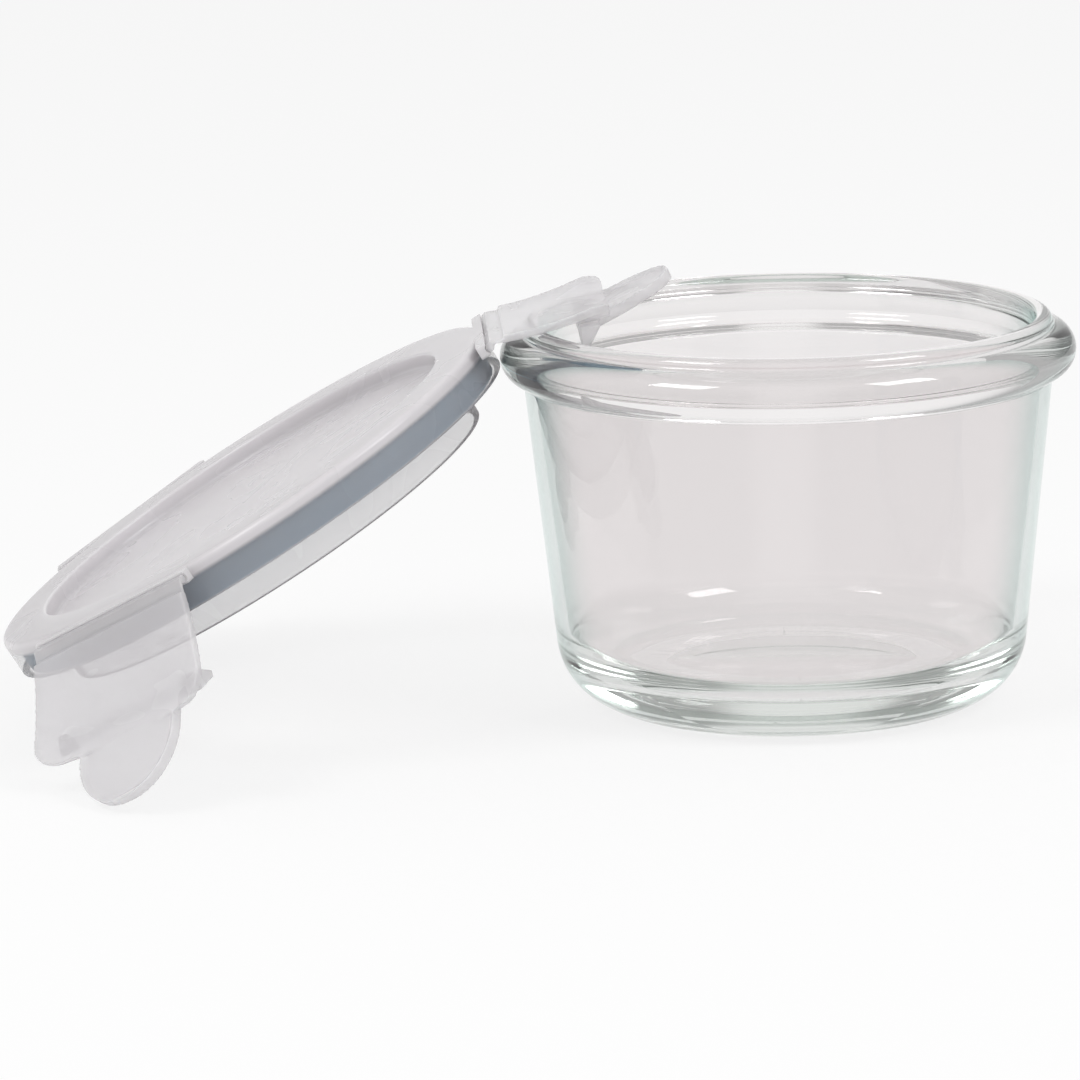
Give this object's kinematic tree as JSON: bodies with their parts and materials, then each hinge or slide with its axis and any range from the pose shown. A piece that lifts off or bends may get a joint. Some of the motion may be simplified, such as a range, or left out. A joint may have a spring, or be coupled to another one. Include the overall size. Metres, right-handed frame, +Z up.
{
  "type": "storage jar",
  "caption": "Round clear glass food jar with a beaded rim, its translucent lid taken off and leaning on it: sunk panel, seal ring and hinged side clips with pull tabs.",
  "frame": {"origin": "middle of the jar's foot, on the ground", "axes": "+Z up along the jar's axis, -X from the jar towards the leaning lid, +Y to the far side"},
  "size_m": [0.1948, 0.1384, 0.0808],
  "materials": {
    "glass": "clear pressed glass, faintly green where thick",
    "lid_plastic": "milky translucent, smooth",
    "seal": "satin silicone"
  },
  "bodies": {
    "jar": {"jar": "glass", "lid": "lid_plastic", "gasket": "seal"},
    "clip_over_lip": {"clip_over_lip": "lid_plastic"},
    "clip_front": {"clip_front": "lid_plastic"},
    "clip_back": {"clip_back": "lid_plastic"}
  },
  "joints": [
    {"name": "clip_over_lip_hinge", "type": "hinge", "parent": "jar", "child": "clip_over_lip", "pos_m": [-0.05399, -0.00617, 0.06971], "axis": [0.0299, -0.9994, 0.018], "range_deg": [0, 44.8]},
    {"name": "clip_front_hinge", "type": "hinge", "parent": "jar", "child": "clip_front", "pos_m": [-0.11982, -0.05418, 0.03011], "axis": [-0.7566, 0.4695, -0.4551], "range_deg": [-32.4, 77.6]},
    {"name": "clip_back_hinge", "type": "hinge", "parent": "jar", "child": "clip_back", "pos_m": [-0.12253, 0.03635, 0.02848], "axis": [0.7267, 0.5299, 0.4372], "range_deg": [-39.5, 70.5]}
  ]
}
